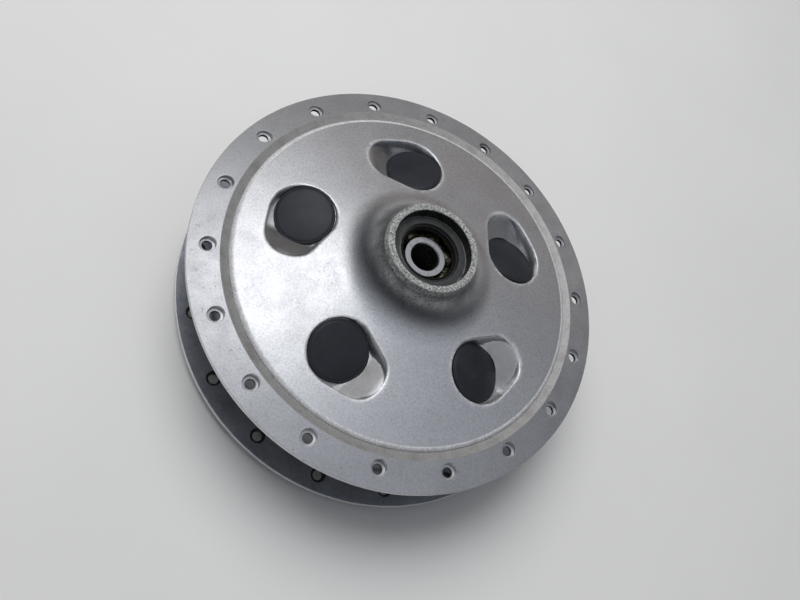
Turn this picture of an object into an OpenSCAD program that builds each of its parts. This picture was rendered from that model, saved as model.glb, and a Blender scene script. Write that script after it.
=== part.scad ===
// Large-flange drum-brake hub for a wire-spoked motorcycle wheel.
// The axle runs along Z. The hub stands on the lip of its brake drum, at z = 0,
// with the domed side and the scoops upwards. All sizes are in millimetres.

/* [Flanges] */
// Outside diameter of both spoke flanges
flange_d = 260; // [250:0.5:270]
// Thickness of a flange at its rim
rim_t = 3; // [2.5:0.1:4]
// Height of the upper flange's outer rim edge above the ground
upper_rim_z = 57; // [55:0.5:60]
// Distance from the upper rim's outer edge to the lower flange's flat inner face
flange_gap = 45.6; // [44:0.1:47]
// Inner diameter of the machined ring that carries the spoke holes
ring_d = 224.6; // [222:0.1:226]
// How far the machined ring rises from its rim to its inner edge
ring_rise = 4.8; // [4:0.1:5.5]

/* [Spoke holes] */
// Spoke holes in each flange
spoke_count = 18; // [16, 18, 20]
// Pitch circle of the upper flange's holes
spoke_pcd = 238; // [236:0.5:240]
// Pitch circle of the lower flange's holes
lower_spoke_pcd = 240; // [236:0.5:241]
// Turn of the lower flange's holes from the upper ones, in degrees
lower_turn = 10.5; // [9:0.5:11]
// Through hole for the spoke
spoke_hole_d = 5.8; // [4.5:0.1:6.2]
// Recess for the spoke's head, on the outer face
head_recess_d = 9; // [8:0.1:10]
// Depth of the head's recess, measured on the pitch circle
head_recess_depth = 2.6; // [2:0.1:3]
// Recess for the spoke's elbow, on the inner face
elbow_recess_d = 8.4; // [7:0.1:9]
// Depth of the elbow's recess
elbow_recess_depth = 1.2; // [0.8:0.1:1.5]

/* [Dome and nose] */
// Outer diameter of the nose that holds the upper bearing
nose_d = 55; // [54:0.5:58]
// Height of the nose's end above the upper rim
nose_h = 40.3; // [39:0.1:42]
// Height of the dome above the upper rim, at the radius dome_ref_r
dome_ref_h = 10.46; // [10:0.02:11]
// Radius at which the dome's height is given
dome_ref_r = 75; // [70:1:80]
// Fall of the dome for each millimetre of radius
dome_fall = 0.173; // [0.16:0.001:0.18]
// Radius of the hollow flare between the nose and the dome
flare_r = 28; // [26:0.5:30]
// Wall thickness of the dome
web_t = 6; // [5:0.1:7]
// Depth of the hollow between the dome and the machined ring
hollow_depth = 1.2; // [1:0.1:1.5]
// Rounding of the dome's shoulder, beside the hollow
shoulder_r = 2.5; // [2:0.1:3]

/* [Scoops] */
// Number of scoops in the dome
scoop_count = 5; // [5]
// Direction of the first scoop
scoop_start = -89.03; // [-95:0.01:-85]
// Radius on which the caps' centres lie
cap_pitch_r = 71.2; // [70:0.1:73]
// Height of a cap's rim centre above the upper rim
cap_h = 7.4; // [7:0.1:8]
// Lean of a cap's face away from the axle's direction
cap_lean = 19.6; // [17:0.1:21]
// Direction of that lean, turned from straight outwards
cap_lean_turn = 43.2; // [40:0.1:46]
// Diameter of a cap
cap_d = 35.8; // [35:0.1:36.4]
// Thickness of a cap's disc at its rim
cap_t = 2; // [1.6:0.1:2.4]
// Height of the cap's crown over its rim
cap_crown = 1.1; // [0.8:0.1:1.5]
// Hole in the dome that a cap closes
cap_hole_d = 28; // [26:0.1:29]
// Radius of the scoop's mouth round the cap
mouth_r = 19.2; // [19:0.1:19.6]
// Radius of the mouth's far end, past the ramp
tip_r = 14.9; // [13:0.1:16]
// Distance from the mouth's first centre to its far end's centre
mouth_run = 16; // [14:0.1:17]
// Slope of the ramp, rising for each millimetre away from the cap
ramp_slope = 0.49; // [0.45:0.01:0.53]

/* [Brake drum] */
// Inner diameter of the brake liner
drum_d = 200; // [198:0.5:201]
// Wall thickness of the liner
liner_t = 4.5; // [4:0.1:5]
// Length of the liner
liner_h = 46; // [42:0.5:47]
// Outer diameter of the barrel between the flanges
barrel_d = 218; // [217:0.5:220]
// Fillet between the barrel and each flange
barrel_fillet = 3; // [2:0.5:4]
// Outer diameter of the lip round the drum's mouth
lip_d = 218; // [216:0.5:220]

/* [Bearings] */
// Bore of the ball bearings
bearing_bore_d = 17; // [17]
// Outside diameter of the ball bearings
bearing_d = 47; // [47]
// Width of the ball bearings
bearing_w = 14; // [14]
// Ball diameter
ball_d = 8.73; // [8.73]
// Balls in each bearing
ball_count = 7; // [7]
// Height of the upper bearing's outer face above the upper rim
bearing_h = 27.5; // [27:0.1:28]
// Length of the tube between the two bearings
spacer_len = 34; // [30:1:36]
// Bore of that tube
spacer_bore_d = 17.2; // [17.1:0.1:17.6]

/* [Seals] */
// Width of an oil seal
seal_w = 5.8; // [5.5:0.1:6.2]
// Opening of an oil seal's lip
seal_lip_d = 31.6; // [31:0.1:32]

/* [Hidden] */
$fn = 96;
edge = 0.4;                                   // small broken edges

flange_r = flange_d / 2;
ring_r = ring_d / 2;
barrel_r = barrel_d / 2;
lip_r = lip_d / 2;
drum_r = drum_d / 2;
liner_r = drum_r + liner_t;
spoke_r = spoke_pcd / 2;
lower_spoke_r = lower_spoke_pcd / 2;

// Heights of the flanges
upper_back_z = upper_rim_z - rim_t;           // flat inner face of the upper flange
lower_face_z = upper_rim_z - flange_gap;      // flat inner face of the lower flange
lower_rim_z = lower_face_z - rim_t;           // lower flange's outer rim edge
ring_slope = ring_rise / (flange_r - ring_r);
upper_pcd_z = upper_rim_z + ring_slope * (flange_r - spoke_r);
lower_pcd_z = lower_rim_z - ring_slope * (flange_r - lower_spoke_r);

// The dome is a cone: its height at radius r
function dome_z(r) = upper_rim_z + dome_ref_h - dome_fall * (r - dome_ref_r);
slant = sqrt(1 + dome_fall * dome_fall);

// The flare touches the nose's wall and the dome
nose_r = nose_d / 2;
nose_z = upper_rim_z + nose_h;
flare_c = [nose_r + flare_r, dome_z(nose_r + flare_r) + flare_r * slant];
flare_end_r = flare_c[0] - flare_r * dome_fall / slant;

// The hollow is round: it runs from the ring's inner edge to the dome, and the
// shoulder is a circle that touches the dome from below and the hollow from inside
ring_z = upper_rim_z + ring_rise;
hollow_in_r = 107.4;                          // where the hollow would meet the dome
hollow_half = (ring_r - hollow_in_r) / 2;
hollow_r = (hollow_half * hollow_half + hollow_depth * hollow_depth) / (2 * hollow_depth);
hollow_c = [ring_r - hollow_half, ring_z - hollow_depth + hollow_r];
// Centre of the shoulder's circle: on a line under the dome, at the touching distance
function line_z(r) = dome_z(r) - shoulder_r * slant;
off_z = line_z(hollow_c[0]) - hollow_c[1];
reach = hollow_r + shoulder_r;
half_b = -dome_fall * off_z;
step_in = (-half_b + sqrt(half_b * half_b + slant * slant * (reach * reach - off_z * off_z)))
          / (slant * slant);
// (step_in solves step^2 + (off_z + dome_fall * step)^2 = reach^2, inwards from the hollow)
shoulder_c = [hollow_c[0] - step_in, line_z(hollow_c[0] - step_in)];
shoulder_top_r = shoulder_c[0] + shoulder_r * dome_fall / slant;

// Inside of the drum
liner_z = 2;                                  // lower end of the liner
liner_top_z = liner_z + liner_h;
corner_r = 5;                                 // fillet in the drum's top corner
drum_top_r = drum_r + 1;                      // wall above the liner
function web_under_z(r) = dome_z(r) - web_t * slant;
corner_c = [drum_top_r - corner_r, web_under_z(drum_top_r - corner_r) - corner_r * slant];

// Bearings, from the upper one down
bearing_r = bearing_d / 2;
bearing_bore_r = bearing_bore_d / 2;
upper_bearing_z = upper_rim_z + bearing_h - bearing_w;     // lower face of the upper bearing
lower_bearing_z = upper_bearing_z - spacer_len - bearing_w; // lower face of the lower bearing
pitch_r = (bearing_r + bearing_bore_r) / 2;
ball_r = ball_d / 2;
groove_play = 0.06;                           // gap between a ball and its grooves
inner_land_r = 12.3;                          // shoulder of the inner race
outer_land_r = 19.8;                          // shoulder of the outer race
race_chamfer = 0.6;
shaft_pass_r = 20;                            // hole between the two bearing seats
cage_t = 0.8;                                 // sheet of the ribbon cage
cage_half_w = 1.9;                            // half of the ribbon's width
cage_play = 0.12;                             // gap between a ball and its cage
rivet_r = 0.7;

seal_gap = 0.3;                               // between a bearing and its seal
seal_lip_r = seal_lip_d / 2;
inner_boss_r = 31;                            // boss inside the drum
inner_boss_end_z = lower_bearing_z - seal_gap - seal_w - 1.5;
inner_boss_foot_r = 35;
inner_fillet = 8;
inner_fillet_c = [inner_boss_foot_r + inner_fillet,
                  web_under_z(inner_boss_foot_r + inner_fillet) - inner_fillet * slant];

// Scoops: the mouth's first centre lies a little beyond the cap's
mouth_shift = [0.6, 1];
side_inset = 0.05;                            // the mouth's sides, inside their circles' tangents
ramp_tip_run = mouth_shift[1] + mouth_run + tip_r;         // where the ramp meets the dome
backing_t = 4;                                // wall behind a scoop
recess_play = 0.3;                            // gap round a cap
spot_r = 17;                                  // flat behind a cap, for its lip
spot_h = 12;
plug_wall = 2.4;
plug_lip = 1.1;

// ---- Hub shell ----

// Half section of everything under the dome, the ring and the flanges' faces
module outer_section() {
    difference() {
        union() {
            polygon([
                [0, inner_boss_end_z],
                [0, nose_z],
                [flare_end_r, nose_z],
                [flare_end_r, dome_z(flare_end_r)],
                [shoulder_top_r, dome_z(shoulder_top_r)],
                shoulder_c,
                [ring_r, ring_z],
                [flange_r - edge, upper_rim_z + edge * ring_slope],
                [flange_r, upper_rim_z - edge],
                [flange_r, upper_back_z + edge],
                [flange_r - edge, upper_back_z],
                [barrel_r + barrel_fillet, upper_back_z],
                [barrel_r, upper_back_z - barrel_fillet],
                [barrel_r, lower_face_z + barrel_fillet],
                [barrel_r + barrel_fillet, lower_face_z],
                [flange_r - edge, lower_face_z],
                [flange_r, lower_face_z - edge],
                [flange_r, lower_rim_z + edge],
                [flange_r - edge, lower_rim_z - edge * ring_slope],
                [ring_r, lower_rim_z - ring_rise],
                [lip_r, lower_rim_z - ring_rise],
                [lip_r, edge],
                [lip_r - edge, 0],
                [liner_r, 0],
                [liner_r, inner_boss_end_z]
            ]);
            translate(shoulder_c) circle(shoulder_r);
        }
        translate(flare_c) circle(flare_r);
        translate(hollow_c) circle(hollow_r);
        for (z = [upper_back_z - barrel_fillet, lower_face_z + barrel_fillet])
            translate([barrel_r + barrel_fillet, z]) circle(barrel_fillet);
    }
}

// Half section of the hollow inside the drum, round the inner boss
module drum_section() {
    polygon([
        [0, -1],
        [0, inner_boss_end_z],
        [inner_boss_r, inner_boss_end_z],
        [inner_boss_foot_r, inner_fillet_c[1]],
        [inner_fillet_c[0], web_under_z(inner_fillet_c[0])],
        [corner_c[0], web_under_z(corner_c[0])],
        [drum_top_r, corner_c[1]],
        [drum_top_r, liner_top_z],
        [liner_r, liner_top_z],
        [liner_r, -1]
    ]);
    translate(inner_fillet_c) circle(inner_fillet);
    translate(corner_c) circle(corner_r);
}

// Seats for the bearings and seals, and the way between them
module seat_section() {
    upper_seat_h = nose_z - upper_bearing_z;
    translate([0, upper_bearing_z]) square([bearing_r, upper_seat_h + 1]);
    translate([0, nose_z]) polygon([
        [0, -edge],
        [bearing_r, -edge],
        [bearing_r + edge, 0],
        [bearing_r + edge, 1],
        [0, 1]
    ]);
    translate([0, lower_bearing_z]) square([shaft_pass_r, 2 * bearing_w + spacer_len]);
    translate([0, inner_boss_end_z - 1])
        square([bearing_r, lower_bearing_z + bearing_w - inner_boss_end_z + 1]);
}

// Plan of a scoop's mouth, grown on all sides: two circles, and sides that cross them
// just inside their tangents
module mouth_plan(grow) {
    big = mouth_r + grow;
    small = tip_r + grow;
    lean = asin((mouth_r - tip_r) / mouth_run);
    translate(mouth_shift) {
        circle(big);
        translate([0, mouth_run]) circle(small);
        polygon([
            (big - side_inset) * [cos(lean), sin(lean)],
            [0, mouth_run] + (small - side_inset) * [cos(lean), sin(lean)],
            [0, mouth_run] + (small - side_inset) * [-cos(lean), sin(lean)],
            (big - side_inset) * [-cos(lean), sin(lean)]
        ]);
    }
}

// Places its children at a scoop, with X outwards and Z upwards from the upper rim
module at_scoop(i) {
    rotate([0, 0, scoop_start + i * 360 / scoop_count])
        translate([cap_pitch_r, 0, upper_rim_z]) children();
}

// Places its children on the plane of a cap's rim
module on_cap_plane() {
    translate([0, 0, cap_h]) rotate([0, 0, cap_lean_turn]) rotate([0, cap_lean, 0]) children();
}

// Everything above the scoop's floor, which is the higher of two planes: the cap's
// seat and the ramp. drop lowers both.
module above_floor(drop) {
    size = 120;
    ramp_z = dome_z(norm([cap_pitch_r, ramp_tip_run])) - upper_rim_z;
    intersection() {
        on_cap_plane() translate([-size / 2, -size / 2, -cap_t - drop]) cube(size);
        translate([0, ramp_tip_run, ramp_z - drop])
            rotate([atan(ramp_slope), atan(dome_fall), 0])
                translate([-size / 2, -size / 2, 0]) cube(size);
    }
}

module scoop_space(grow, drop) {
    intersection() {
        translate([0, 0, -30]) linear_extrude(80) mouth_plan(grow);
        above_floor(drop);
    }
}

// The casting: dome, nose, barrel and both flanges in one
module hub_shell() {
    hole_turn = 360 / spoke_count;
    color("#c3c6ca") difference() {
        union() {
            difference() {
                rotate_extrude() outer_section();
                rotate_extrude() drum_section();
            }
            intersection() {
                rotate_extrude() intersection() {
                    outer_section();
                    translate([inner_boss_foot_r, liner_top_z])
                        square([drum_r - inner_boss_foot_r, nose_z - liner_top_z]);
                }
                union() for (i = [0:scoop_count - 1]) at_scoop(i) scoop_space(backing_t, backing_t);
            }
        }
        rotate_extrude() seat_section();
        for (i = [0:scoop_count - 1]) at_scoop(i) {
            scoop_space(0, 0);
            on_cap_plane() {
                translate([0, 0, -cap_t]) cylinder(r = cap_d / 2 + recess_play, h = 9);
                translate([0, 0, -30]) cylinder(d = cap_hole_d, h = 40);
                translate([0, 0, -cap_t - backing_t - spot_h]) cylinder(r = spot_r, h = spot_h);
            }
        }
        for (i = [0:spoke_count - 1]) {
            rotate([0, 0, i * hole_turn]) translate([spoke_r, 0, 0])
                spoke_hole(upper_back_z, upper_pcd_z);
            rotate([0, 0, i * hole_turn + lower_turn]) translate([lower_spoke_r, 0, 0])
                mirror([0, 0, 1]) spoke_hole(-lower_face_z, -lower_pcd_z);
        }
    }
}

// A spoke's hole: recessed for the elbow below and for the head above
module spoke_hole(inner_z, outer_z) {
    translate([0, 0, inner_z - 1]) cylinder(d = spoke_hole_d, h = outer_z - inner_z + 4);
    translate([0, 0, inner_z - 1]) cylinder(d = elbow_recess_d, h = 1 + elbow_recess_depth);
    translate([0, 0, outer_z - head_recess_depth]) cylinder(d = head_recess_d, h = head_recess_depth + 4);
}

// Cast-iron ring that the brake shoes rub on
module brake_liner() {
    color("#6d6a66") rotate_extrude() polygon([
        [drum_r + edge, liner_z],
        [liner_r, liner_z],
        [liner_r, liner_top_z],
        [drum_r + edge, liner_top_z],
        [drum_r, liner_top_z - edge],
        [drum_r, liner_z + edge]
    ]);
}

// Push-in cap that closes a scoop's hole: a crowned disc, and a collar with a lip
module scoop_cap(i) {
    crown_r = (cap_d * cap_d / 4 + cap_crown * cap_crown) / (2 * cap_crown);
    collar_r = cap_hole_d / 2 - 0.1;
    collar_h = backing_t + 1.4;
    color("#3b4046") at_scoop(i) on_cap_plane() {
        intersection() {
            translate([0, 0, -cap_t]) cylinder(d1 = cap_d, d2 = cap_d - 0.6, h = cap_t + cap_crown + 1);
            translate([0, 0, cap_crown - crown_r - 0.3]) sphere(crown_r, $fn = 180);
        }
        translate([0, 0, -cap_t]) rotate_extrude() polygon([
            [collar_r - plug_wall, 0],
            [collar_r, 0],
            [collar_r, -backing_t - 0.3],
            [collar_r + plug_lip, -backing_t - 0.4],
            [collar_r, -collar_h - 1],
            [collar_r - plug_wall, -collar_h - 1]
        ]);
    }
}

// ---- Ball bearings, drawn with their lower face at z = 0 ----

module races_groove() {
    translate([pitch_r, bearing_w / 2]) circle(ball_r + groove_play);
}

module outer_race() {
    color("#9b9ea1") rotate_extrude() difference() {
        polygon([
            [outer_land_r, 0],
            [bearing_r - race_chamfer, 0],
            [bearing_r, race_chamfer],
            [bearing_r, bearing_w - race_chamfer],
            [bearing_r - race_chamfer, bearing_w],
            [outer_land_r, bearing_w]
        ]);
        races_groove();
    }
}

module inner_race() {
    color("#b8bbbd") rotate_extrude() difference() {
        polygon([
            [bearing_bore_r + race_chamfer, 0],
            [inner_land_r, 0],
            [inner_land_r, bearing_w],
            [bearing_bore_r + race_chamfer, bearing_w],
            [bearing_bore_r, bearing_w - race_chamfer],
            [bearing_bore_r, race_chamfer]
        ]);
        races_groove();
    }
}

module round_the_balls(turn) {
    for (i = [0:ball_count - 1])
        rotate([0, 0, (i + turn) * 360 / ball_count])
            translate([pitch_r, 0, bearing_w / 2]) children();
}

module balls() {
    color("#a9acae") round_the_balls(0) sphere(ball_r);
}

// Half of a ribbon cage: a flat ring with a round cup over each ball
module cage_half() {
    color("#7d7864") difference() {
        intersection() {
            translate([0, 0, bearing_w / 2]) difference() {
                cylinder(r = pitch_r + cage_half_w, h = ball_r + 2);
                translate([0, 0, -1]) cylinder(r = pitch_r - cage_half_w, h = ball_r + 4);
            }
            union() {
                translate([0, 0, bearing_w / 2]) cylinder(r = pitch_r + 4, h = cage_t);
                round_the_balls(0) sphere(ball_r + cage_play + cage_t);
            }
        }
        round_the_balls(0) sphere(ball_r + cage_play);
        round_the_balls(0.5) translate([0, 0, -1]) cylinder(r = rivet_r, h = cage_t + 2);
    }
}

// Rivets that hold the two halves of a cage together
module rivets() {
    head_h = 0.5;
    head_r = 1.3;
    color("#8c8775") round_the_balls(0.5) {
        translate([0, 0, -cage_t]) cylinder(r = rivet_r, h = 2 * cage_t);
        for (side = [0, 1]) mirror([0, 0, side])
            translate([0, 0, cage_t]) cylinder(r1 = head_r, r2 = head_r - 0.4, h = head_h);
    }
}

module flip_bearing() {
    translate([0, 0, bearing_w]) mirror([0, 0, 1]) children();
}

// ---- Oil seals, drawn with the bearing's side at z = 0 and the open side up ----

seal_face_t = 1;
seal_wall = 1.2;
seal_face_in_r = 18.4;                        // inner edge of the case's face
seal_chamfer = 0.8;
lip_web_t = 1.1;
lip_waist_r = 16.7;                           // between the two lips
spring_r = 0.65;
spring_c = [18.15, 1.7];

// Steel case: a ring pressed into the hub, with a turned-in face
module seal_case() {
    color("#43464b") rotate_extrude() polygon([
        [bearing_r - seal_wall, 0],
        [bearing_r, 0],
        [bearing_r, seal_w - seal_chamfer],
        [bearing_r - seal_chamfer, seal_w],
        [seal_face_in_r, seal_w],
        [seal_face_in_r, seal_w - seal_face_t],
        [bearing_r - seal_wall, seal_w - seal_face_t]
    ]);
}

// Rubber bonded under the case's face, with a dust lip above and a sealing lip below
module seal_lip() {
    under_z = seal_w - seal_face_t;           // underside of the case's face
    web_z = under_z - lip_web_t;
    color("#17181a") rotate_extrude() difference() {
        polygon([
            [bearing_r - seal_wall, under_z],
            [bearing_r - seal_wall, web_z],
            [spring_c[0], web_z],
            [spring_c[0] - spring_r, web_z - 1],
            [spring_c[0] - spring_r, spring_c[1]],
            [spring_c[0] + 0.1, spring_c[1] - spring_r - 0.4],
            [seal_lip_r + 1.1, 0.3],
            [seal_lip_r, 1.9],
            [lip_waist_r, web_z - 0.6],
            [lip_waist_r, under_z - 0.6],
            [seal_lip_r + 0.2, seal_w - 0.1],
            [seal_lip_r + 0.5, seal_w + 0.2],
            [lip_waist_r + 0.4, under_z + 0.4],
            [lip_waist_r + 0.8, under_z + 0.4],
            [lip_waist_r + 0.9, seal_w + 0.1],
            [seal_face_in_r, seal_w - 0.1],
            [seal_face_in_r, under_z]
        ]);
        translate(spring_c) circle(spring_r);
    }
}

// Garter spring that holds the sealing lip in
module seal_spring() {
    color("#8f9194") rotate_extrude() translate(spring_c) circle(spring_r - 0.03);
}

// Tube clamped between the two inner races
module spacer_tube() {
    color("#8e8a84") translate([0, 0, lower_bearing_z + bearing_w]) difference() {
        cylinder(r = inner_land_r, h = spacer_len);
        translate([0, 0, -1]) cylinder(d = spacer_bore_d, h = spacer_len + 2);
    }
}

module in_dome_bearing() {
    translate([0, 0, upper_bearing_z]) children();
}
module in_drum_bearing() {
    translate([0, 0, lower_bearing_z]) children();
}
module in_dome_seal() {
    translate([0, 0, upper_bearing_z + bearing_w + seal_gap]) children();
}
module in_drum_seal() {
    translate([0, 0, lower_bearing_z - seal_gap]) mirror([0, 0, 1]) children();
}

hub_shell();
brake_liner();
scoop_cap(0);  // scoop_cap_1
scoop_cap(1);  // scoop_cap_2
scoop_cap(2);  // scoop_cap_3
scoop_cap(3);  // scoop_cap_4
scoop_cap(4);  // scoop_cap_5
in_dome_bearing() outer_race();  // dome_bearing_outer_race
in_dome_bearing() inner_race();  // dome_bearing_inner_race
in_dome_bearing() balls();  // dome_bearing_balls
in_dome_bearing() cage_half();  // dome_bearing_cage_top
in_dome_bearing() flip_bearing() cage_half();  // dome_bearing_cage_bottom
in_dome_bearing() rivets();  // dome_bearing_rivets
in_dome_seal() seal_case();  // dome_seal_case
in_dome_seal() seal_lip();  // dome_seal_lip
in_dome_seal() seal_spring();  // dome_seal_spring
spacer_tube();
in_drum_bearing() outer_race();  // drum_bearing_outer_race
in_drum_bearing() inner_race();  // drum_bearing_inner_race
in_drum_bearing() balls();  // drum_bearing_balls
in_drum_bearing() cage_half();  // drum_bearing_cage_top
in_drum_bearing() flip_bearing() cage_half();  // drum_bearing_cage_bottom
in_drum_bearing() rivets();  // drum_bearing_rivets
in_drum_seal() seal_case();  // drum_seal_case
in_drum_seal() seal_lip();  // drum_seal_lip
in_drum_seal() seal_spring();  // drum_seal_spring
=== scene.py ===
"""Looks of a large-flange drum-brake hub for a wire-spoked motorcycle wheel.

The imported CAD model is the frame. The casting and the scoops' caps are rebuilt here as
finer meshes with their rounded edges, and every piece gets its own material. The mesh
code works in millimetres, with the axle along Z, and scales to metres when it makes an
object.
"""

import math

import bpy
import numpy as np
from mathutils import Matrix, Vector
from mathutils.geometry import delaunay_2d_cdt
from mathutils.kdtree import KDTree
from mathutils.noise import fractal


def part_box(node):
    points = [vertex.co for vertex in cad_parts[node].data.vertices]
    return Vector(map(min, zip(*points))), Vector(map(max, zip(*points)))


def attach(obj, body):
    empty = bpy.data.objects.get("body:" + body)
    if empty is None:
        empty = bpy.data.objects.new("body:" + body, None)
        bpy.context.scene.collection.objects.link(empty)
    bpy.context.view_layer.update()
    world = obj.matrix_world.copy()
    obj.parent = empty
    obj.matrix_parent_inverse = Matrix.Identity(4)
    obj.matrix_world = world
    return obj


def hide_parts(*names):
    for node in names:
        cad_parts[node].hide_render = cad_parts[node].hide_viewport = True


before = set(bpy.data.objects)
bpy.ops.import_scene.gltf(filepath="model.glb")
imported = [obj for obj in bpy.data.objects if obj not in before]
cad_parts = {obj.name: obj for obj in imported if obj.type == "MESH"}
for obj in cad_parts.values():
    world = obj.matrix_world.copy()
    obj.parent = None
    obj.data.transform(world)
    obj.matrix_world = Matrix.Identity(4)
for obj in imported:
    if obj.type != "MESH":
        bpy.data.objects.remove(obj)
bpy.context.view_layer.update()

MM = 0.001                                    # a millimetre, in metres

# ---- Sizes, in millimetres, as the CAD model has them unless a comment says otherwise ----

SHELL_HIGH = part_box("hub_shell")[1] / MM
RACE_LOW, RACE_HIGH = (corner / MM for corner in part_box("dome_bearing_outer_race"))
LOWER_RACE_LOW, LOWER_RACE_HIGH = (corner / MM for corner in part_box("drum_bearing_outer_race"))
LINER_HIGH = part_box("brake_liner")[1] / MM
SEAL_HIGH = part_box("dome_seal_case")[1] / MM

FLANGE_R = SHELL_HIGH.x
RIM_T = 3.0
UPPER_RIM_Z = 57.0
LOWER_FACE_Z = 11.4
RING_R = 112.3
RING_RISE = 4.8
UPPER_BACK_Z = UPPER_RIM_Z - RIM_T
LOWER_RIM_Z = LOWER_FACE_Z - RIM_T
RING_SLOPE = RING_RISE / (FLANGE_R - RING_R)

NOSE_R = 27.5
NOSE_Z = SHELL_HIGH.z
DOME_REF_R, DOME_REF_Z, DOME_FALL = 75.0, UPPER_RIM_Z + 10.46, 0.173
SLANT = math.hypot(1, DOME_FALL)
FLARE_R = 28.0
WEB_T = 6.0
HOLLOW_DEPTH = 1.5                             # 1.2 in the CAD model, whose hollow is round
SHOULDER_OUT_R, SHOULDER_R = 108.1, 3.8        # the shoulder's radius is 2.5 in the CAD model

SCOOPS = 5
SCOOP_START = -89.03
CAP_PITCH_R = 71.2
CAP_Z = UPPER_RIM_Z + 7.4
CAP_LEAN, CAP_LEAN_TURN = math.radians(19.6), math.radians(43.2)
CAP_R = 17.9
CAP_T = 2.0
CAP_CROWN = 1.1
CAP_HOLE_R = 14.0
COLLAR_R, COLLAR_IN_R, COLLAR_LIP = 13.9, 11.5, 1.1
CAP_SHOULDER = 0.9                             # rounded here only
RECESS_R = CAP_R + 0.3
MOUTH_X, MOUTH_Y, MOUTH_R = 0.6, 1.0, 19.2    # the mouth's circle round the cap
TIP_SHIFT, TIP_R, MOUTH_RUN = 1.0, 14.9, 16.0  # and at its tip, which is shifted here only
RAMP_SLOPE = 0.49
BACKING_T = 4.0
SPOT_R = 17.0

SPOKES = 18
SPOKE_R = 119.0
LOWER_SPOKE_R, LOWER_TURN = 120.0, 10.5
SPOKE_HOLE_R = 2.9
HEAD_R, HEAD_DEPTH, HEAD_BRIM = 4.5, 2.6, 0.22  # the brim's rounding is here only
ELBOW_R, ELBOW_DEPTH = 4.2, 1.2

BARREL_R = 109.0
BARREL_FILLET = 3.0
LIP_R = 109.0
LINER_R = LINER_HIGH.x
DRUM_TOP_R = 101.0
CORNER_R = 5.0
BOSS_R, BOSS_FOOT_R, BOSS_FILLET = 31.0, 35.0, 8.0
BOSS_END_Z = LOWER_RACE_LOW.z - 7.6
SEAT_R = RACE_HIGH.x
SHAFT_PASS_R = 20.0

# Sizes that only the finer meshes here have
WALL_FOOT, WALL_RUN = -1.7, 3.2                # foot of a scoop's wall from the outline, and its run
RAMP_BLEND, RIDGE_BLEND = 2.0, 2.0             # how far surfaces blend, in height
RIDGE_BACK = 2.0                               # how far the ramp's end lies inside the mouth
SCOOP_REACH = 40.0                             # a scoop ends well inside this, from its recess
SCOOP_FADE = 3.5                               # over which the finish inside a scoop comes in
BRIM_OUT, BRIM_WIDTH = 0.3, 1.2                # the worn brim, painted pale as a highlight, from the mouth's outline
BACK_STEEP, BACK_BLEND = 5.0, 1.5              # sides of a scoop's back, and their foot's blend

SEGMENTS = 720                                # points of a full ring of the casting
HOLE_POINTS = 48                              # points round a spoke hole
CAP_HOLE_POINTS = 96


def dome_z(r):
    """Height of the dome's cone."""
    return DOME_REF_Z - DOME_FALL * (r - DOME_REF_R)


def web_under_z(r):
    """Height of the underside of the dome's wall."""
    return dome_z(r) - WEB_T * SLANT


# ---- Plane curves ----

def arc(centre, radius, start, end, steps):
    """Points of an arc from start to end, in degrees."""
    turn = np.radians(np.linspace(start, end, steps + 1))
    return np.column_stack([centre[0] + radius * np.cos(turn), centre[1] + radius * np.sin(turn)])


def softened(corners, radius, steps=3):
    """An open line through corners, whose inner corners are rounded with radius."""
    corners = [np.array(c, float) for c in corners]
    line = [corners[0]]
    for before, corner, after in zip(corners, corners[1:], corners[2:]):
        back, ahead = before - corner, after - corner
        reach = min(radius, 0.45 * np.linalg.norm(back), 0.45 * np.linalg.norm(ahead))
        start = corner + back / np.linalg.norm(back) * reach
        end = corner + ahead / np.linalg.norm(ahead) * reach
        for share in np.linspace(0, 1, steps + 1):
            line.append((1 - share) ** 2 * start + 2 * share * (1 - share) * corner + share**2 * end)
    line.append(corners[-1])
    return np.array(line)


def resampled(line, spacing):
    """Evenly spaced points on a closed line."""
    closed = np.vstack([line, line[:1]])
    run = np.concatenate([[0], np.cumsum(np.linalg.norm(np.diff(closed, axis=0), axis=1))])
    at = np.linspace(0, run[-1], max(int(run[-1] / spacing), 12), endpoint=False)
    return np.column_stack([np.interp(at, run, closed[:, k]) for k in range(2)])


def circle(centre, radius, count, start=0.0):
    turn = start + np.linspace(0, 2 * math.pi, count, endpoint=False)
    return np.column_stack([centre[0] + radius * np.cos(turn), centre[1] + radius * np.sin(turn)])


def smooth_min(a, b, k):
    h = np.maximum(k - np.abs(a - b), 0) / k
    return np.minimum(a, b) - h * h * k / 4


def smooth_max(a, b, k):
    return -smooth_min(-a, -b, k)


def smooth_step(x):
    x = np.clip(x, 0, 1)
    return x * x * (3 - 2 * x)


# ---- Scoops ----

CAP_NORMAL = np.array([
    math.sin(CAP_LEAN) * math.cos(CAP_LEAN_TURN),
    math.sin(CAP_LEAN) * math.sin(CAP_LEAN_TURN),
    math.cos(CAP_LEAN),
])
CAP_DOWNHILL = np.array([
    math.cos(CAP_LEAN) * math.cos(CAP_LEAN_TURN),
    math.cos(CAP_LEAN) * math.sin(CAP_LEAN_TURN),
    -math.sin(CAP_LEAN),
])
CAP_ACROSS = np.array([-math.sin(CAP_LEAN_TURN), math.cos(CAP_LEAN_TURN), 0.0])
RAMP_RUN = MOUTH_Y + MOUTH_RUN + TIP_R
RAMP_TOP_Z = dome_z(math.hypot(CAP_PITCH_R, RAMP_RUN))


def scoop_turn(i):
    return math.radians(SCOOP_START + i * 360 / SCOOPS)


def to_scoop(points, i):
    """Plan points in the scoop's own axes: X outwards from the cap's centre, Y round."""
    c, s = math.cos(scoop_turn(i)), math.sin(scoop_turn(i))
    return points @ np.array([[c, -s], [s, c]]) - [CAP_PITCH_R, 0]


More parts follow.
